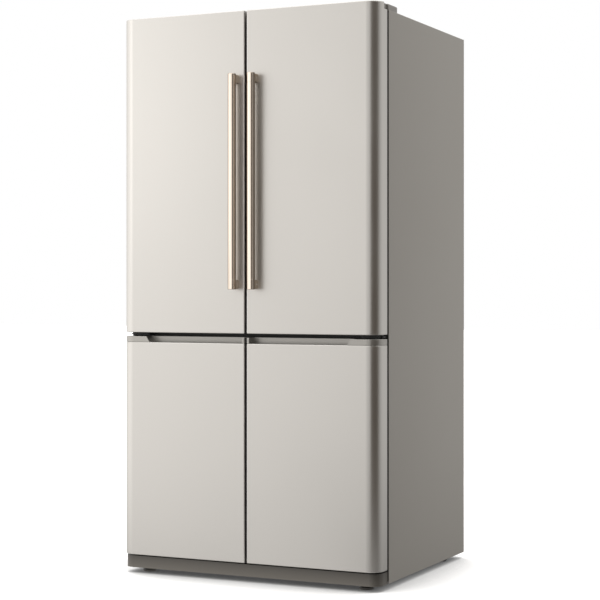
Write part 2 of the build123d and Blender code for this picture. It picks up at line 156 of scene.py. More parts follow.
def polished_metal(name, colour, rough, stretch, edge=(1, 1, 1)):
    """Bare or plated metal with fine drawn lines along its length. edge tints its grazing reflections."""
    made = Shader(name)
    lines = made.noise(DRAWN, 4.0, 0.6, stretch)
    made.colour(shade(colour, 0.94), shade(colour, 1.04), lines)
    made.roughness(rough * 0.85, rough * 1.2, lines)
    made.bump(lines, 0.00001)
    made.set(Metallic=1.0, Specular_Tint=(*edge, 1))
    return made.material


def moulded(name, colour, rough, texture=1500, bump=0.00003):
    """Moulded plastic with a fine etched texture."""
    made = Shader(name)
    fine = made.noise(texture, 2.0)
    slow = made.noise(6, 3.0)
    made.colour(shade(colour, 0.96), shade(colour, 1.04), slow)
    made.roughness(rough - 0.04, rough + 0.05, fine)
    made.bump(fine, bump)
    return made.material


def clear(name, colour, rough, density):
    """Clear plastic or glass: mostly see-through, with a tinted body and gloss."""
    made = Shader(name)
    slow = made.noise(9, 2.0)
    made.colour(shade(colour, 0.97), colour, slow)
    made.roughness(rough * 0.8, rough * 1.2, slow)
    made.bump(made.noise(60, 1.0), 0.00001)
    made.set(Alpha=density, IOR=1.5)
    return made.material


def painted_shade_at_top(made, colour, low, high):
    """Painted shade of a surface that stands under an overhang: full colour at its foot, darker at its top.
    """
    height = made.node("ShaderNodeSeparateXYZ")
    made.link(made.place, height.inputs["Vector"])
    share = made.span(height.outputs["Z"], 0, 1, low, high)
    tone = made.ramp(share, colour, shade(colour, 0.55), 0.0, 1.0)
    flake = made.ramp(made.noise(FLAKE, 2.0), (0.97, 0.97, 0.97), (1.03, 1.03, 1.03))
    mix = made.node("ShaderNodeMix", data_type="RGBA", blend_type="MULTIPLY")
    mix.inputs["Factor"].default_value = 1.0
    made.link(tone, mix.inputs["A"])
    made.link(flake, mix.inputs["B"])
    made.link(mix.outputs["Result"], made.surface.inputs["Base Color"])


def plinth_paint(name, colour):
    """Painted steel of the plinth, with painted shade that darkens it towards its top where the doors hang
    over it.
    """
    made = Shader(name)
    low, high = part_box("kick_plate")
    painted_shade_at_top(made, colour, low.z, high.z)
    made.roughness(0.37, 0.43, made.noise(DRIFT, 2.0))
    made.bump(made.noise(ORANGE_PEEL, 2.0), 0.00002)
    made.set(Metallic=0.3)
    return made.material


# Stretches of the drawn lines, so that they run along the named axis.
ALONG_X, ALONG_Y, ALONG_Z = (0.02, 1, 1), (1, 0.05, 1), (1, 1, 0.02)
SHORT_ALONG_X, SHORT_ALONG_Z = (0.05, 1, 1), (1, 1, 0.05)
BRONZE_EDGE = (0.35, 0.28, 0.22)

MATERIALS = {
    "door_steel": painted_metal("door_steel", (0.525, 0.511, 0.488), 0.345, 0.96),
    "cabinet_paint": painted_metal("cabinet_paint", (0.30, 0.285, 0.26), 0.45, 0.2, bump=0.00006),
    "handle_bronze": polished_metal("handle_bronze", (0.60, 0.525, 0.45), 0.13, ALONG_Z, BRONZE_EDGE),
    "pull_grey": painted_metal("pull_grey", (0.34, 0.33, 0.31), 0.36, 0.8),
    "cap_grey": moulded("cap_grey", (0.30, 0.29, 0.27), 0.45),
    "liner_white": moulded("liner_white", (0.86, 0.87, 0.88), 0.22, texture=300),
    "foam": moulded("foam", (0.80, 0.71, 0.48), 0.85, texture=240, bump=0.0006),
    # gasket rubber, its grey darkened nearly to black as painted shade for the gap between the doors and
    # the cabinet
    "gasket_grey": moulded("gasket_grey", (0.035, 0.035, 0.034), 0.6),
    "clear_plastic": clear("clear_plastic", (0.86, 0.91, 0.95), 0.08, 0.35),
    "shelf_glass": clear("shelf_glass", (0.80, 0.92, 0.90), 0.03, 0.3),
    "trim_silver": polished_metal("trim_silver", (0.80, 0.80, 0.79), 0.24, ALONG_X),
    "hinge_black": painted_metal("hinge_black", (0.02, 0.02, 0.02), 0.38, 0.3),
    "galvanised": painted_metal("galvanised", (0.55, 0.57, 0.58), 0.42, 0.85, grain=60, drift=0.14),
    "cover_grey": moulded("cover_grey", (0.24, 0.23, 0.215), 0.42),
    "plinth_grey": plinth_paint("plinth_grey", (0.135, 0.125, 0.11)),
    "foot_black": moulded("foot_black", (0.05, 0.047, 0.04), 0.38),
    "roller_black": moulded("roller_black", (0.02, 0.02, 0.02), 0.5),
    "compressor_black": painted_metal("compressor_black", (0.012, 0.012, 0.014), 0.25, 0.0, coat=0.5),
    "coil_metal": polished_metal("coil_metal", (0.78, 0.78, 0.77), 0.3, SHORT_ALONG_X),
    "fan_plastic": moulded("fan_plastic", (0.03, 0.03, 0.033), 0.45),
    "inlet_black": moulded("inlet_black", (0.012, 0.012, 0.012), 0.35),
}

# CAD nodes whose finish is a darker form of their slot's, as painted shade: the cabinet's front frame is
# seen in the shadowed gap between the doors and the cabinet.
SHADE_PAINTED_NODES = {
    "cabinet_front_frame": painted_metal("frame_painted_shade", (0.045, 0.044, 0.042), 0.5, 0.2, bump=0.00006),
}


def paint_cad_nodes():
    """Give every CAD node the material of its slot in the record, or the darker one listed for it as
    painted shade.
    """
    for row in frame["record"]["subparts"]:
        mesh = nodes[row["node"]].data
        mesh.materials.clear()
        mesh.materials.append(SHADE_PAINTED_NODES.get(row["node"], MATERIALS[row["material_slot"]]))


# ---------------------------------------------------------------- mesh building

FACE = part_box("upper_door_skin_right")[0].y    # y of the flat door faces, in metres
SHEET_THICKNESS = 0.7                           # of pressed sheets, in mm
CORNER_STEPS = 5                                # in a quarter turn of a loop

# Outlines of turned parts: share of the radius that is reached at an angle.
SHAPES = {
    "round": lambda angle: 1.0,
    "hex": lambda angle: math.cos(math.pi / 6) / math.cos(angle % (math.pi / 3) - math.pi / 6),
    "cross": lambda angle: 1.0 if abs((angle + math.pi / 4) % (math.pi / 2) - math.pi / 4) < 0.27 else 0.42,
    "knurl": lambda angle: 1.0 if round(angle * 24 / math.pi) % 2 else 0.96,
}


def at(x, depth, z):
    """Place in the row frame from millimetres. Depth counts back from the door faces."""
    return Vector((x * MM, FACE + depth * MM, z * MM))


def piece(name, bm, body, finish, sharp=35):
    """Turn a bmesh into a piece that rides on a body."""
    bmesh.ops.recalc_face_normals(bm, faces=bm.faces)
    mesh = bpy.data.meshes.new(name)
    bm.to_mesh(mesh)
    bm.free()
    mesh.polygons.foreach_set("use_smooth", [True] * len(mesh.polygons))
    mesh.set_sharp_from_angle(angle=math.radians(sharp))
    mesh.materials.append(finish)
    made = bpy.data.objects.new(name, mesh)
    bpy.context.scene.collection.objects.link(made)
    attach(made, body)
    return made


def add_block(bm, x, depth, z, edge=0.5, segments=2):
    """Block with rounded edges between limits in mm."""
    corners = at(x[0], depth[0], z[0]), at(x[1], depth[1], z[1])
    size = Vector(abs(a - b) for a, b in zip(*corners))
    place = Matrix.LocRotScale((corners[0] + corners[1]) / 2, None, size)
    made = bmesh.ops.create_cube(bm, size=1.0, matrix=place)
    edges = list(dict.fromkeys(side for vert in made["verts"] for side in vert.link_edges))
    bmesh.ops.bevel(bm, geom=edges, offset=edge * MM, segments=segments, profile=0.5, affect="EDGES")


def add_turned(bm, centre, axis, profile, steps=24, closed=False):
    """Turned part.

    Each stop is (radius, height along the axis) in mm, and may name another shape than round.
    """
    axis = Vector(axis).normalized()
    side = axis.orthogonal().normalized()
    across = axis.cross(side)
    rings = []
    for radius, height, *shape in profile:
        reach = SHAPES[shape[0] if shape else "round"]
        middle = centre + axis * height * MM
        angles = [2 * math.pi * step / steps for step in range(steps)] if radius else [0]
        rings.append([
            bm.verts.new(middle + (side * math.cos(a) + across * math.sin(a)) * radius * reach(a) * MM)
            for a in angles
        ])
    pairs = list(zip(rings, rings[1:])) + ([(rings[-1], rings[0])] if closed else [])
    for one, two in pairs:
        for step in range(steps):
            follow = (step + 1) % steps
            corners = (
                one[step % len(one)], one[follow % len(one)], two[follow % len(two)], two[step % len(two)],
            )
            corners = list(dict.fromkeys(corners))
            if len(corners) > 2:
                bm.faces.new(corners)


def add_bar(bm, outline, x_low, x_high):
    """Straight bar along x with a closed outline of (depth, z) pairs."""
    one, two = ([bm.verts.new(at(x, *stop)) for stop in outline] for x in (x_low, x_high))
    bm.faces.new(one)
    bm.faces.new(reversed(two))
    for stop in range(len(outline)):
        follow = (stop + 1) % len(outline)
        bm.faces.new((one[stop], one[follow], two[follow], two[stop]))


def add_loop(bm, lie, limits, radius, section):
    """Closed strip along a rounded rectangle.

    A level one runs along x and depth, an upright one along x and z. The section is a closed outline of
    (outward, height) pairs in mm, where an upright loop's height is its depth.
    """
    a_low, a_high = sorted(limits[:2])
    b_low, b_high = sorted(limits[2:])
    middles = (
        (a_high - radius, b_high - radius), (a_low + radius, b_high - radius),
        (a_low + radius, b_low + radius), (a_high - radius, b_low + radius),
    )
    rings = []
    for quarter, (a, b) in enumerate(middles):
        for step in range(CORNER_STEPS + 1):
            turn = (quarter + step / CORNER_STEPS) * math.pi / 2
            ring = []
            for outward, height in section:
                a_place = a + (radius + outward) * math.cos(turn)
                b_place = b + (radius + outward) * math.sin(turn)
                place = (a_place, b_place, height) if lie == "level" else (a_place, height, b_place)
                ring.append(bm.verts.new(at(*place)))
            rings.append(ring)
    for one, two in zip(rings, rings[1:] + rings[:1]):
        for stop in range(len(section)):
            follow = (stop + 1) % len(section)
            bm.faces.new((one[stop], one[follow], two[follow], two[stop]))


def add_sheet(bm, xs, zs, depth, hole=lambda x, z: False):
    """Pressed sheet over a grid of x and z stops.

    depth(x, z) is its outer face. hole(x, z), asked about a cell's middle, leaves that cell out.
    """
    corners = {}

    def corner(x, z):
        if (x, z) not in corners:
            corners[x, z] = bm.verts.new(at(x, depth(x, z), z))
        return corners[x, z]

    faces = []
    for x_low, x_high in zip(xs, xs[1:]):
        for z_low, z_high in zip(zs, zs[1:]):
            if not hole((x_low + x_high) / 2, (z_low + z_high) / 2):
                stops = (x_low, z_low), (x_low, z_high), (x_high, z_high), (x_high, z_low)
                faces.append(bm.faces.new([corner(*stop) for stop in stops]))
    bm.normal_update()
    bmesh.ops.solidify(bm, geom=faces, thickness=SHEET_THICKNESS * MM)


def pipes(name, routes, radius, body, finish):
    """Smooth pipes or wires, each along its own control points in mm."""
    curve = bpy.data.curves.new(name, "CURVE")
    curve.dimensions = "3D"
    curve.bevel_depth = radius * MM
    curve.bevel_resolution = 2
    curve.resolution_u = 5
    curve.use_fill_caps = True
    for route in routes:
        line = curve.splines.new("NURBS")
        line.points.add(len(route) - 1)
        for stop, place in zip(line.points, route):
            stop.co = (*at(*place), 1)
        line.order_u = 3
        line.use_endpoint_u = True
    curve.materials.append(finish)
    made = bpy.data.objects.new(name, curve)
    bpy.context.scene.collection.objects.link(made)
    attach(made, body)
    return made


# ---------------------------------------------------------------- fine detail

COPPER = polished_metal("copper", (0.80, 0.42, 0.27), 0.28, SHORT_ALONG_Z)
SCREW_STEEL = polished_metal("screw_steel", (0.62, 0.62, 0.61), 0.3, ALONG_Y)
TOUCH_BLACK = moulded("touch_black", (0.02, 0.02, 0.022), 0.12, texture=600, bump=0.000005)
LAMP_LENS = moulded("lamp_lens", (0.92, 0.93, 0.94), 0.3, texture=900, bump=0.00005)

RIGHT, BACK, UP = (1, 0, 0), (0, 1, 0), (0, 0, 1)
FRONT, DOWN = (0, -1, 0), (0, 0, -1)

# Section of a magnetic gasket as (across, depth): base on the door, bellows, strip that meets the cabinet.
GASKET_HALF = (
    (6.0, 66.1), (6.2, 67.6), (3.2, 68.2), (4.6, 70.2), (3.0, 72.0), (5.6, 73.4), (6.2, 76.0), (5.2, 78.4),
)
# The gasket's middle line: its x on the inner and outer side, its inset in height and its corner radius.
GASKET_IN, GASKET_OUT, GASKET_INSET, GASKET_CORNER = 13, 421, 7, 9


def seals():
    """Gaskets as one closed profile each, round the inner side of every door."""
    section = GASKET_HALF + tuple((-across, depth) for across, depth in reversed(GASKET_HALF))
    finish = MATERIALS["gasket_grey"]
    for side, sign in SIDES:
        for level in ("upper", "lower"):
            node = f"{level}_door_gasket_{side}"
            low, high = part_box(node)
            bm = bmesh.new()
            heights = low.z / MM + GASKET_INSET, high.z / MM - GASKET_INSET
            limits = (sign * GASKET_IN, sign * GASKET_OUT, *heights)
            add_loop(bm, "upright", limits, GASKET_CORNER, section)
            made = piece(f"door_seal_{level}_{side}", bm, f"{level}_door_{side}", finish)
            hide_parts(node)


def screw(bm, centre, axis, radius, height, drive="cross"):
    """Screw head with a washer flange and a recess for its driver."""
    add_turned(bm, centre, axis, (
        (0, 0), (radius * 1.25, 0), (radius * 1.25, height * 0.2), (radius, height * 0.3),
        (radius * 0.9, height * 0.75), (radius * 0.62, height), (radius * 0.55, height, drive),
        (radius * 0.4, height * 0.35, drive), (0, height * 0.35),
    ))


# Faces of the two back sheets: raised field, flat rim round it, and floor of the stiffening beads.
BACK_EDGE, PRESSED, BEAD_FLOOR = 760, 758.8, 758.1
# Half widths: sheet, start of the rim, end of the field.
BACK_HALF, RIM_START, FIELD_END = 454, 438, 432
# Stiffening beads: their middles in x, half widths of the floor and of the whole bead, and their ends.
BEADS = (-330, -198, -66, 66, 198, 330)
BEAD_HALF, BEAD_FOOT = 6, 9
BEAD_LOW, BEAD_HIGH = 393, 1667
# Heights of the back sheet and of the machine cover, and where the rims of each end.
SHEET_LOW, SHEET_HIGH = 283.2, 1781
SHEET_RIM_LOW, SHEET_RIM_HIGH = 302, 1763
COVER_LOW, COVER_HIGH = 26, 283
COVER_RIM_LOW, COVER_RIM_HIGH = 36, 273
LOUVRE_COLUMNS = (-330, -110, 110, 330)
LOUVRE_ROWS = range(120, 260, 16)
LOUVRE_HALF, LOUVRE_HEIGHT = 80, 7
# Window for the power inlet: half width, bottom and top.
WINDOW_HALF, WINDOW_LOW, WINDOW_HIGH = 50, 45, 95
# Section of the hood over a louvre as (depth, height above the louvre's foot).
HOOD = (
    (759.3, 7.6), (756.6, 7.2), (753.4, 4.2), (752.2, -0.6), (752.9, -0.9), (754.2, 3.6), (757.0, 6.5),
    (759.3, 6.9),
)
HOOD_HALF = LOUVRE_HALF + 1


def both_ways(*reaches):
    """Each reach to the left and to the right."""
    return {sign * reach for reach in reaches for sign in (-1, 1)}


def back_sheet():
    """Pressed sheet behind the insulation, with stiffening beads."""
    bead_stops = {bead + reach for bead in BEADS for reach in both_ways(BEAD_HALF, BEAD_FOOT)}
    xs = sorted(both_ways(BACK_HALF, RIM_START, FIELD_END) | bead_stops)
    zs = (
        SHEET_LOW, SHEET_RIM_LOW, SHEET_RIM_LOW + 6, BEAD_LOW - 5, BEAD_LOW,
        BEAD_HIGH, BEAD_HIGH + 5, SHEET_RIM_HIGH - 6, SHEET_RIM_HIGH, SHEET_HIGH,
    )

    def face(x, z):
        if abs(x) >= RIM_START or z <= SHEET_RIM_LOW or z >= SHEET_RIM_HIGH:
            return PRESSED
        bead = any(abs(x - middle) <= BEAD_HALF for middle in BEADS) and BEAD_LOW <= z <= BEAD_HIGH
        return BEAD_FLOOR if bead else BACK_EDGE

    bm = bmesh.new()
    add_sheet(bm, xs, zs, face)
    made = piece("pressed_back_sheet", bm, "cabinet", MATERIALS["galvanised"], sharp=8)
    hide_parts("cabinet_back_panel")


def machine_cover():
    """Cover of the machine compartment, with hooded louvres and a window for the power inlet."""
    stops = {x + reach for x in LOUVRE_COLUMNS for reach in both_ways(LOUVRE_HALF)}
    xs = sorted(stops | both_ways(BACK_HALF, RIM_START, FIELD_END, WINDOW_HALF))
    rows = {z + rise for z in LOUVRE_ROWS for rise in (0, LOUVRE_HEIGHT)}
    rim = {COVER_LOW, COVER_RIM_LOW, COVER_RIM_LOW + 5, COVER_RIM_HIGH - 5, COVER_RIM_HIGH, COVER_HIGH}
    zs = sorted(rows | rim | {WINDOW_LOW, WINDOW_HIGH})

    def face(x, z):
        flat = abs(x) >= RIM_START or z <= COVER_RIM_LOW or z >= COVER_RIM_HIGH
        return PRESSED if flat else BACK_EDGE

    def opening(x, z):
        column = any(abs(x - middle) < LOUVRE_HALF for middle in LOUVRE_COLUMNS)
        row = any(0 < z - foot < LOUVRE_HEIGHT for foot in LOUVRE_ROWS)
        window = abs(x) < WINDOW_HALF and WINDOW_LOW < z < WINDOW_HIGH
        return (column and row) or window

    bm = bmesh.new()
    add_sheet(bm, xs, zs, face, opening)
    for column in LOUVRE_COLUMNS:
        for row in LOUVRE_ROWS:
            outline = [(depth, row + rise) for depth, rise in HOOD]
            add_bar(bm, outline, column - HOOD_HALF, column + HOOD_HALF)
    made = piece("louvred_machine_cover", bm, "cabinet", MATERIALS["galvanised"], sharp=30)
    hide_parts("machine_cover")


def back_screws():
    """Screws along the sides and the level edges of both back sheets."""
    radius, height = 3.4, 1.1
    bm = bmesh.new()
    for side, sign in SIDES:
        for z in (55, 155, 255, 330, 560, 790, 1020, 1250, 1480, 1740):
            screw(bm, at(sign * 446, PRESSED, z), BACK, radius, height)
    for x in range(-375, 400, 150):
        for z in (277.5, 293, 1772):
            screw(bm, at(x, PRESSED, z), BACK, radius, height)
    piece("back_screws", bm, "cabinet", SCREW_STEEL)


# Machine space: axis of the compressor, depths and pitch of the condenser's tubes, line of the filter
# drier, and axis of the fan.
COMPRESSOR_X, COMPRESSOR_DEPTH = -235, 655
COIL_NEAR, COIL_FAR, COIL_PITCH = 630, 695, 36
LIQUID_DEPTH, DRIER_Z = 720, 236
FAN_DEPTH, FAN_Z = 660, 122


def compressor_fittings():
    """Weld seam, terminal cover, top cap and mount nuts of the compressor."""
    bm = bmesh.new()
    seam = ((73.5, 146), (75.2, 147.5), (76, 150), (75.2, 152.5), (73.5, 154))
    add_turned(bm, at(COMPRESSOR_X, COMPRESSOR_DEPTH, 0), UP, seam, 48)
    add_block(bm, (-178, -150), (612, 654), (112, 176), 4, 3)
    cap = ((20, 0), (20, 3), (17, 5), (0, 6))
    add_turned(bm, at(COMPRESSOR_X, COMPRESSOR_DEPTH, 226), UP, cap, 32)
    nut = ((15, 0), (15, 2), (12, 5), (7, 5.5), (6, 8), (0, 8))
    for across in (-70, 70):
        for along in (-45, 45):
            add_turned(bm, at(COMPRESSOR_X + across, COMPRESSOR_DEPTH + along, 51.5), UP, nut, 24)
    piece("compressor_fittings", bm, "cabinet", MATERIALS["compressor_black"])


def coil_bends():
    """Return bends at the ends of the condenser's and the evaporator's tubes."""
    coil = MATERIALS["coil_metal"]
    rows = range(214, 60, -COIL_PITCH)
    bends = []
    for z in rows:
        bends.append([(333, COIL_NEAR, z), (352, COIL_NEAR, z), (352, COIL_FAR, z), (333, COIL_FAR, z)])
    for z, depth in zip(rows, (COIL_FAR, COIL_NEAR, COIL_FAR, COIL_NEAR)):
        below = z - COIL_PITCH
        bends.append([(95, depth, z), (80, depth, z), (80, depth, below), (95, depth, below)])
    pipes("condenser_bends", bends, 5, "cabinet", coil)
    bends = []
    for x in (175, 265):
        after = x + 45
        bends.append([(x, 677.5, 415), (x, 677.5, 396), (after, 677.5, 396), (after, 677.5, 415)])
    pipes("evaporator_bends", bends, 4, "cabinet", coil)


def refrigerant_lines():
    """Copper lines between compressor, condenser, filter drier and evaporator, and the drier itself."""
    discharge = [
        (-163, 668, 190), (-130, 668, 190), (-130, 668, 250), (-60, 640, 250), (76, COIL_NEAR, 250),
        (76, COIL_NEAR, 214), (95, COIL_NEAR, 214),
    ]
    liquid = [
        (95, COIL_FAR, 70), (76, COIL_FAR, 70), (76, LIQUID_DEPTH, 90), (76, LIQUID_DEPTH, DRIER_Z),
        (20, LIQUID_DEPTH, DRIER_Z), (-20, LIQUID_DEPTH, DRIER_Z),
    ]
    suction = [(-235, 583, 170), (-235, 572, 170), (-235, 572, 262), (-200, 572, 279)]
    process = [(-270, 586, 120), (-275, 574, 120), (-290, 574, 160), (-290, 574, 190)]
    pipes("refrigerant_pipes", [discharge, liquid, suction, process], 3.2, "cabinet", COPPER)
    capillary = [
        (-110, LIQUID_DEPTH, DRIER_Z), (-128, LIQUID_DEPTH, DRIER_Z), (-128, 700, 262), (-128, 640, 279),
    ]
    pipes("capillary_pipe", [capillary], 1.2, "cabinet", COPPER)
    bm = bmesh.new()
    drier = (
        (0, 0), (3.2, 0), (3.4, 4), (9, 10), (9.5, 14), (9.5, 70), (9, 74), (2.5, 84), (1.3, 92), (0, 92),
    )
    add_turned(bm, at(-18, LIQUID_DEPTH, DRIER_Z), (-1, 0, 0), drier, 24)
    piece("filter_drier", bm, "cabinet", COPPER)


def fan_guard():
    """Wire guard in front of the condenser fan: five rings on six spokes, with a cap in the middle."""
    sixth = math.pi / 3
    bm = bmesh.new()
    for ring in (20, 34, 48, 62, 76):
        wire = [(ring + math.cos(turn * sixth), 2.2 + math.sin(turn * sixth)) for turn in range(6)]
        add_turned(bm, at(60.5, FAN_DEPTH, FAN_Z), RIGHT, wire, 48, closed=True)
    start, reach = 14, 66
    for turn in range(6):
        spoke = Vector((0, math.cos(turn * sixth), math.sin(turn * sixth)))
        foot = at(64.3, FAN_DEPTH, FAN_Z) + spoke * start * MM
        add_turned(bm, foot, spoke, ((0, 0), (1, 0), (1, reach), (0, reach)), 8)
    cap = ((0, 0), (15, 0), (15, 2.4), (12, 3.4), (0, 3.4))
    add_turned(bm, at(62, FAN_DEPTH, FAN_Z), RIGHT, cap, 32)
    piece("fan_guard", bm, "cabinet", SCREW_STEEL)


def inlet_pins():
    """Three contact pins inside the power inlet."""
    bm = bmesh.new()
    for x, z in ((-8, 67), (0, 73), (8, 67)):
        add_block(bm, (x - 2, x + 2), (747.8, 756), (z - 1, z + 1), 0.4)
    piece("inlet_pins", bm, "cabinet", SCREW_STEEL)


def fridge_fittings():
    """Light bar with its lamps under the fridge's ceiling, and a touch panel with unmarked keys."""
    ceiling = 1720.4
    bm = bmesh.new()
    add_block(bm, (-190, 190), (184, 210), (1714.5, ceiling), 2, 3)
    piece("light_bar_housing", bm, "cabinet", MATERIALS["liner_white"])
    bm = bmesh.new()
    add_block(bm, (-182, 182), (188, 206), (1712.6, 1716), 1.4, 3)
    for x in range(-168, 180, 24):
        add_turned(bm, at(x, 197, 1712.9), DOWN, ((5, 0), (4.4, 0.35), (0, 0.4)), 20)
    piece("light_bar_lens", bm, "cabinet", LAMP_LENS)
    bm = bmesh.new()
    add_block(bm, (-90, 90), (146, 176), (1715.5, ceiling), 2, 3)
    piece("touch_panel", bm, "cabinet", TOUCH_BLACK)
    bm = bmesh.new()
    key = ((7, 0), (7, 0.7), (6.2, 0.9), (5.6, 0.9), (5.2, 0.3), (0, 0.3))
    for x in (-64, -32, 0, 32, 64):
        add_turned(bm, at(x, 161, 1715.6), DOWN, key, 28)
    piece("touch_keys", bm, "cabinet", MATERIALS["trim_silver"])


# Section of a rolled rim over a wall, about the wall's middle and its top.
RIM = ((-2.0, -2.6), (-2.2, -0.4), (-1.5, 1.0), (0, 1.5), (1.5, 1.0), (2.2, -0.4), (2.0, -2.6))
RIM_WALL_HALF, RIM_CORNER = 1.5, 5
# Section of a drawer's hand grip as (depth, rise) from its front wall: open below for the fingers.
GRIP = (
    (0.5, 0), (-9, -1), (-12.5, -4), (-13, -14), (-11.5, -16), (-10.4, -14), (-10, -6.5), (-7.5, -4.4),
    (0.5, -4),
)
GRIP_INSET, GRIP_DROP = 90, 8


def rim_on(bm, x, depth, top):
    """Rolled rim on the walls of a drawer or bin given by its outer limits."""
    half = RIM_WALL_HALF
    x, depth = sorted(x), sorted(depth)
    section = [(across, top + rise) for across, rise in RIM]
    limits = (x[0] + half, x[1] - half, depth[0] + half, depth[1] - half)
    add_loop(bm, "level", limits, RIM_CORNER, section)


def drawer_rim(name, side):
    """Rim of one drawer, with a hand grip if it is a crisper."""
    node = f"{name}_{side}"
    low, high = (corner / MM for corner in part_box(node))
    front = low.y - FACE / MM
    back = high.y - FACE / MM
    bm = bmesh.new()
    rim_on(bm, (low.x, high.x), (front, back), high.z)
    if name == "crisper_drawer":
        outline = [(front + depth, high.z - GRIP_DROP + rise) for depth, rise in GRIP]
        add_bar(bm, outline, low.x + GRIP_INSET, high.x - GRIP_INSET)
    piece(f"{name}_rim_{side}", bm, node, MATERIALS["clear_plastic"])


def humidity_slide(side, sign):
    """Slide plate with its rail and knob on the front of a crisper drawer."""
    low, high = (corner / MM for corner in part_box(f"crisper_drawer_{side}"))
    front = low.y - FACE / MM
    middle = (low.x + high.x) / 2
    bm = bmesh.new()
    plate = (high.z - 60, high.z - 46)
    add_block(bm, (middle - 60, middle + 60), (front - 1.6, front + 0.4), plate, 0.7)
    rail = (high.z - 55, high.z - 51)
    add_block(bm, (middle - 56, middle + 56), (front - 2.2, front - 1.2), rail, 0.4)
    knob = ((0, 0), (6.5, 0), (6.5, 2.6), (5.6, 3.4), (4.6, 3.4), (4.2, 2.9), (0, 2.9))
    add_turned(bm, at(middle + 22 * sign, front - 1.8, high.z - 53), FRONT, knob)
    piece(f"humidity_slide_{side}", bm, f"crisper_drawer_{side}", MATERIALS["liner_white"])


def drawer_details():
    """Rims of all drawers, and grips and humidity slides of the crispers."""
    for side, sign in SIDES:
        for name in ("crisper_drawer", "freezer_drawer_upper", "freezer_drawer_lower"):
            drawer_rim(name, side)
        humidity_slide(side, sign)


# Tops of the door bins' walls, and the bins' limits in x and depth.
BIN_TOPS = [level + 96 for level in (1024, 1255, 1500)]
BIN_IN, BIN_OUT = 50, 390
BIN_NEAR, BIN_FAR = 84, 170


def bin_details():
    """Rolled rims and front bars of the door bins."""
    for side, sign in SIDES:
        rims, bars = bmesh.new(), bmesh.new()
        bar_ends = BIN_IN + 6, BIN_OUT - 6
        for top in BIN_TOPS:
            rim_on(rims, (sign * BIN_IN, sign * BIN_OUT), (BIN_NEAR, BIN_FAR), top)
            bar = tuple(sign * x for x in bar_ends)
            add_block(bars, bar, (168.6, 172.4), (top - 15, top - 3), 1.4, 3)
            for x in bar_ends:
                clip = (sign * (x - 4), sign * (x + 4))
                add_block(bars, clip, (166.5, 172.8), (top - 17, top - 1), 1.2, 3)
        piece(f"bin_rims_{side}", rims, f"upper_door_{side}", MATERIALS["clear_plastic"])
        piece(f"bin_front_bars_{side}", bars, f"upper_door_{side}", MATERIALS["trim_silver"])


# Foot from its pad up: knurled disc, collar, hexagon, then threads to the end of the stud.
FOOT = (
    (0, 0), (21.8, 0), (23, 1.4), (23, 2.4), (22, 3.1, "knurl"), (23, 3.4, "knurl"), (23, 6.8, "knurl"),
    (22, 7.4), (18, 8.2), (17, 9), (17, 11.4), (16, 12), (10.2, 12, "hex"), (10.6, 12.6, "hex"),
    (10.6, 19.4, "hex"), (9.8, 20, "hex"), (5.3, 20),
)
STUD_END = ((5, 53.5), (0, 53.5))
THREADS, THREAD_START, THREAD_PITCH = 19, 22, 1.65
FOOT_X, FOOT_DEPTH = 385, 67
# Half of a roller's section as (radius, distance along its axle), from the bore out to the tread's groove.
ROLLER_HALF = (
    (4.05, -10), (8, -10), (8.6, -8), (13, -8), (13.8, -10), (17.2, -10), (18, -9.2), (18, -4.4),
    (17.1, -3.6),
)
ROLLER_X, ROLLER_DEPTH, ROLLER_Z = 415, 655, 18
RIB = ((0, -9.2), (1.8, -9.2), (1.8, 9.2), (0, 9.2))
RIB_REACH = 10.8


def levelling_foot(side, sign):
    """Threaded levelling foot with a knurled disc and a hexagon."""
    thread = ()
    for turn in range(THREADS):
        root = THREAD_START + THREAD_PITCH * turn
        thread += ((5.3, root), (6, root + 0.8))
    bm = bmesh.new()
    add_turned(bm, at(sign * FOOT_X, FOOT_DEPTH, 0), UP, FOOT + thread + STUD_END, 48)
    finish = MATERIALS["foot_black"]
    made = piece(f"levelling_foot_{side}", bm, f"front_foot_{side}", finish, sharp=25)
    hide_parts(f"front_foot_{side}")


def grooved_roller(side, sign):
    """Roller with a grooved tread and six ribs between hub and tread."""
    bm = bmesh.new()
    wheel = ROLLER_HALF + tuple((radius, -across) for radius, across in reversed(ROLLER_HALF))
    centre = at(sign * ROLLER_X, ROLLER_DEPTH, ROLLER_Z)
    add_turned(bm, centre, RIGHT, wheel, 48, closed=True)
    for turn in range(6):
        angle = turn * math.pi / 3
        middle = centre + Vector((0, math.cos(angle), math.sin(angle))) * RIB_REACH * MM
        add_turned(bm, middle, RIGHT, RIB, 12)
    finish = MATERIALS["roller_black"]
    made = piece(f"grooved_roller_{side}", bm, f"rear_roller_{side}", finish)
    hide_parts(f"rear_roller_{side}")


# Handle stems: x of the handle's axis, half width, depth of the screw and its height from the handle's end.
HANDLE_X, STEM_HALF = 33.5, 10.95
GRUB_DEPTH, GRUB_INSET = -9, 15.75


def hinge_and_handle_screws():
    """Hexagon screws of the lower hinge flanges and grub screws in the handle stems."""
    bm = bmesh.new()
    for side, sign in SIDES:
        for x in (405, 431):
            screw(bm, at(sign * x, 76, 41), FRONT, 4.2, 2.6, "hex")
    piece("lower_hinge_screws", bm, "cabinet", SCREW_STEEL)
    grub = ((0, 0), (2.6, 0), (2.6, 0.2), (2.2, 0.35), (1.5, 0.35, "hex"), (1.4, 0.1, "hex"), (0, 0.1))
    for side, sign in SIDES:
        low, high = (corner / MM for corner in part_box(f"handle_ends_{side}"))
        bm = bmesh.new()
        for z in (low.z + GRUB_INSET, high.z - GRUB_INSET):
            add_turned(bm, at(sign * (HANDLE_X + STEM_HALF), GRUB_DEPTH, z), (sign, 0, 0), grub)
        piece(f"handle_grub_screws_{side}", bm, f"upper_door_{side}", SCREW_STEEL)


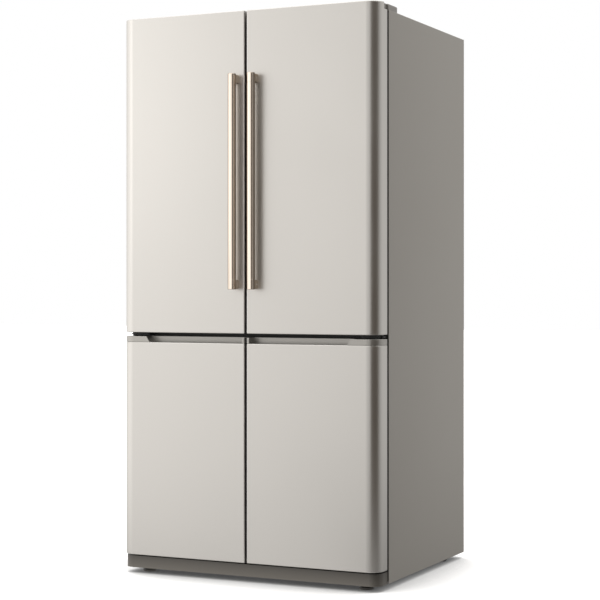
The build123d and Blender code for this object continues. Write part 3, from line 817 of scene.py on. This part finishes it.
def build_details():
    """All pieces that the CAD nodes don't have."""
    seals()
    back_sheet()
    machine_cover()
    back_screws()
    compressor_fittings()
    coil_bends()
    refrigerant_lines()
    fan_guard()
    inlet_pins()
    fridge_fittings()
    drawer_details()
    bin_details()
    for side, sign in SIDES:
        levelling_foot(side, sign)
        grooved_roller(side, sign)
    hinge_and_handle_screws()


# ---------------------------------------------------------------- stage, light and camera

# Brightness of the room by bearing in degrees: 0 is straight in front, 90 on the right.
ROOM = {
    -180: 0.63, -120: 1.10, -75: 1.75, -45: 1.68, -28: 1.31, -15: 0.90, 25: 0.85,
    60: 0.70, 90: 0.50, 115: 0.80, 140: 0.87, 180: 0.63,
}
ROOM_TINT = (1, 0.98, 0.957)
# The ceiling: its colour, and the rise of a direction where it starts and where it is full.
CEILING = (2.2, 2.18, 2.14, 1)
CEILING_START, CEILING_FULL = 0.35, 0.95
# Share of the room's brightness that the floor sends up, by distance in metres from the object.
FLOOR_NEAR = (0.4, 0.50)
FLOOR_FAR = (4.5, 0.95)
FLOOR_SIZE = 60
FLOOR_GLOW = 0.48
# Painted contact shadow: tone of the floor by how open it is within reach, from under the cabinet to clear
# of it.
CONTACT_REACH = 0.35
CONTACT_SAMPLES = 12
CONTACT = (
    (0.0, 0.05), (0.022, 0.11), (0.095, 0.26), (0.28, 0.38), (0.50, 0.47), (0.56, 0.57), (0.66, 0.71),
    (0.80, 0.86), (0.95, 0.98),
)


def room_by_bearing(tree, source):
    """Room colour for a vector's bearing about the vertical, and the vector's rise."""
    new = tree.nodes.new
    link = tree.links.new
    parts = new("ShaderNodeSeparateXYZ")
    link(source, parts.inputs["Vector"])
    forward = new("ShaderNodeMath")
    forward.operation = "MULTIPLY"
    forward.inputs[1].default_value = -1
    link(parts.outputs["Y"], forward.inputs[0])
    turn = new("ShaderNodeMath")
    turn.operation = "ARCTAN2"
    link(parts.outputs["X"], turn.inputs[0])
    link(forward.outputs["Value"], turn.inputs[1])
    share = new("ShaderNodeMapRange")
    share.inputs["From Min"].default_value = -math.pi
    share.inputs["From Max"].default_value = math.pi
    link(turn.outputs["Value"], share.inputs["Value"])
    around = new("ShaderNodeValToRGB")
    while len(around.color_ramp.elements) < len(ROOM):
        around.color_ramp.elements.new(0.5)
    for stop, (bearing, level) in zip(around.color_ramp.elements, ROOM.items()):
        stop.position = (bearing + 180) / 360
        stop.color = (*shade(ROOM_TINT, level), 1)
    link(share.outputs["Result"], around.inputs["Fac"])
    return around.outputs["Color"], parts.outputs["Z"]


def build_stage():
    """Plain pale floor with a painted soft contact shadow. What it sends up follows the room around it."""
    bpy.ops.mesh.primitive_plane_add(size=FLOOR_SIZE, location=(0, 0, 0))
    floor = bpy.context.object
    floor.name = "floor"
    made = Shader("floor")
    contact = made.node("ShaderNodeAmbientOcclusion", samples=CONTACT_SAMPLES)
    contact.inputs["Distance"].default_value = CONTACT_REACH
    (first, darkest), *between, (last, palest) = CONTACT
    fade = made.ramp(contact.outputs["AO"], (darkest,) * 3, (palest,) * 3, first, last)
    for place, level in between:
        fade.node.color_ramp.elements.new(place).color = (level, level, level, 1)
    made.link(fade, made.surface.inputs["Base Color"])
    made.link(fade, made.surface.inputs["Emission Color"])
    made.set(Roughness=1.0, Emission_Strength=FLOOR_GLOW)
    door_low, door_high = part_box("upper_door_skin_right")
    centred = made.node("ShaderNodeMapping")
    centred.inputs["Location"].default_value = (-door_high.x, -door_low.y, 0)
    made.link(made.place, centred.inputs["Vector"])
    colour, _ = room_by_bearing(made.tree, centred.outputs["Vector"])
    bounce = made.node("ShaderNodeEmission")
    reach = made.node("ShaderNodeVectorMath", operation="LENGTH")
    made.link(centred.outputs["Vector"], reach.inputs[0])
    share = made.span(reach.outputs["Value"], FLOOR_NEAR[1], FLOOR_FAR[1], FLOOR_NEAR[0], FLOOR_FAR[0])
    made.link(share, bounce.inputs["Strength"])
    made.link(colour, bounce.inputs["Color"])
    rays = made.node("ShaderNodeLightPath")
    mix = made.node("ShaderNodeMixShader")
    made.link(rays.outputs["Is Camera Ray"], mix.inputs["Fac"])
    made.link(bounce.outputs["Emission"], mix.inputs[1])
    made.link(made.surface.outputs["BSDF"], mix.inputs[2])
    made.link(mix.outputs["Shader"], made.output.inputs["Surface"])
    floor.data.materials.append(made.material)


# Dark card that stands around the right front corner: bearings in degrees, distance and height in metres.
CARD_FROM, CARD_TO, CARD_STEPS = 13, 84, 16
CARD_DISTANCE = 0.85
CARD_HEIGHT = 2.6
CARD_GLOW = (0.056, 0.038, 0.022, 1)


def build_card():
    """Curved dark card, unseen by the camera, that gives the right corner its dark reflection."""
    door_low, door_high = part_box("upper_door_skin_right")
    bm = bmesh.new()
    columns = []
    for step in range(CARD_STEPS + 1):
        bearing = math.radians(CARD_FROM + (CARD_TO - CARD_FROM) * step / CARD_STEPS)
        x = door_high.x + CARD_DISTANCE * math.sin(bearing)
        y = door_low.y - CARD_DISTANCE * math.cos(bearing)
        columns.append([bm.verts.new((x, y, z)) for z in (0, CARD_HEIGHT)])
    for one, two in zip(columns, columns[1:]):
        bm.faces.new((one[0], two[0], two[1], one[1]))
    mesh = bpy.data.meshes.new("dark_card")
    bm.to_mesh(mesh)
    bm.free()
    card = bpy.data.objects.new("dark_card", mesh)
    bpy.context.scene.collection.objects.link(card)
    made = Shader("dark_card")
    made.colour((0.02, 0.02, 0.02), (0.03, 0.03, 0.03), made.noise(3, 2.0))
    made.set(Roughness=1.0, Emission_Color=CARD_GLOW, Emission_Strength=1.0)
    mesh.materials.append(made.material)
    card.visible_camera = False
    card.visible_shadow = False


# The camera is turned about the vertical only. Its y is counted from the door faces.
CAMERA_TURN = math.radians(25.369)
CAMERA_PLACE = (2.3768, -4.6123, 0.9250)
CAMERA_LENS, CAMERA_SENSOR = 99.02, 36
HORIZON_SHIFT = -0.0191


def build_camera():
    """Camera on the front right, level, at half height."""
    data = bpy.data.cameras.new("camera")
    camera = bpy.data.objects.new("camera", data)
    bpy.context.scene.collection.objects.link(camera)
    door_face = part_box("upper_door_skin_right")[0].y
    camera.location = (CAMERA_PLACE[0], door_face + CAMERA_PLACE[1], CAMERA_PLACE[2])
    camera.rotation_euler = (math.pi / 2, 0, CAMERA_TURN)
    data.sensor_width = CAMERA_SENSOR
    data.lens = CAMERA_LENS
    data.shift_y = HORIZON_SHIFT
    bpy.context.scene.camera = camera


def build_world():
    """White studio: bright on the front left and above, dark on the right. The camera sees plain white."""
    world = bpy.data.worlds.new("studio")
    bpy.context.scene.world = world
    world.use_nodes = True
    tree = world.node_tree
    tree.nodes.clear()
    new = tree.nodes.new
    link = tree.links.new
    output = new("ShaderNodeOutputWorld")
    around, rise = room_by_bearing(tree, new("ShaderNodeTexCoord").outputs["Generated"])
    height = new("ShaderNodeMapRange")
    height.interpolation_type = "SMOOTHSTEP"
    height.inputs["From Min"].default_value = CEILING_START
    height.inputs["From Max"].default_value = CEILING_FULL
    link(rise, height.inputs["Value"])
    ceiling = new("ShaderNodeMix")
    ceiling.data_type = "RGBA"
    link(height.outputs["Result"], ceiling.inputs["Factor"])
    link(around, ceiling.inputs["A"])
    ceiling.inputs["B"].default_value = CEILING
    room = new("ShaderNodeBackground")
    link(ceiling.outputs["Result"], room.inputs["Color"])
    back = new("ShaderNodeBackground")
    back.inputs["Color"].default_value = (1, 1, 1, 1)
    rays = new("ShaderNodeLightPath")
    mix = new("ShaderNodeMixShader")
    link(rays.outputs["Is Camera Ray"], mix.inputs["Fac"])
    link(room.outputs["Background"], mix.inputs[1])
    link(back.outputs["Background"], mix.inputs[2])
    link(mix.outputs["Shader"], output.inputs["Surface"])


def area_light(name, place, target, size, power, colour=(1, 1, 1)):
    """Soft light that faces a point. size is its width and height."""
    data = bpy.data.lights.new(name, "AREA")
    data.shape = "RECTANGLE"
    data.size, data.size_y = size
    data.energy = power
    data.color = colour
    lamp = bpy.data.objects.new(name, data)
    bpy.context.scene.collection.objects.link(lamp)
    lamp.location = place
    lamp.rotation_euler = (Vector(target) - Vector(place)).to_track_quat("-Z", "Y").to_euler()
    lamp.visible_camera = False
    return lamp


def build_lights():
    """Soft key near the upper left front corner, and a softbox and a rim light for the handles alone."""
    area_light(
        "key", place=(-2.4, -2.6, 1.9), target=(0, -0.3, 1.1), size=(1.6, 1.6), power=5,
        colour=(1, 0.99, 0.97),
    )
    low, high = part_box("handle_tube_left")
    height = (low.z + high.z) / 2
    front = area_light(
        "handle_softbox", place=(-0.2, -1.9, height), target=(-0.2, 0, height), size=(1.3, 1.8), power=7
    )
    rim = area_light(
        "handle_rim", place=(1.2, -0.62, height), target=(0, -0.45, height), size=(0.3, 1.8), power=1.1
    )
    handles = bpy.data.collections.new("handles")
    for name in nodes:
        if name.startswith("handle_"):
            handles.objects.link(nodes[name])
    for lamp in (front, rim):
        lamp.light_linking.receiver_collection = handles


paint_cad_nodes()
build_details()
build_stage()
build_card()
build_camera()
build_world()
build_lights()
bpy.context.scene.view_settings.view_transform = "Standard"
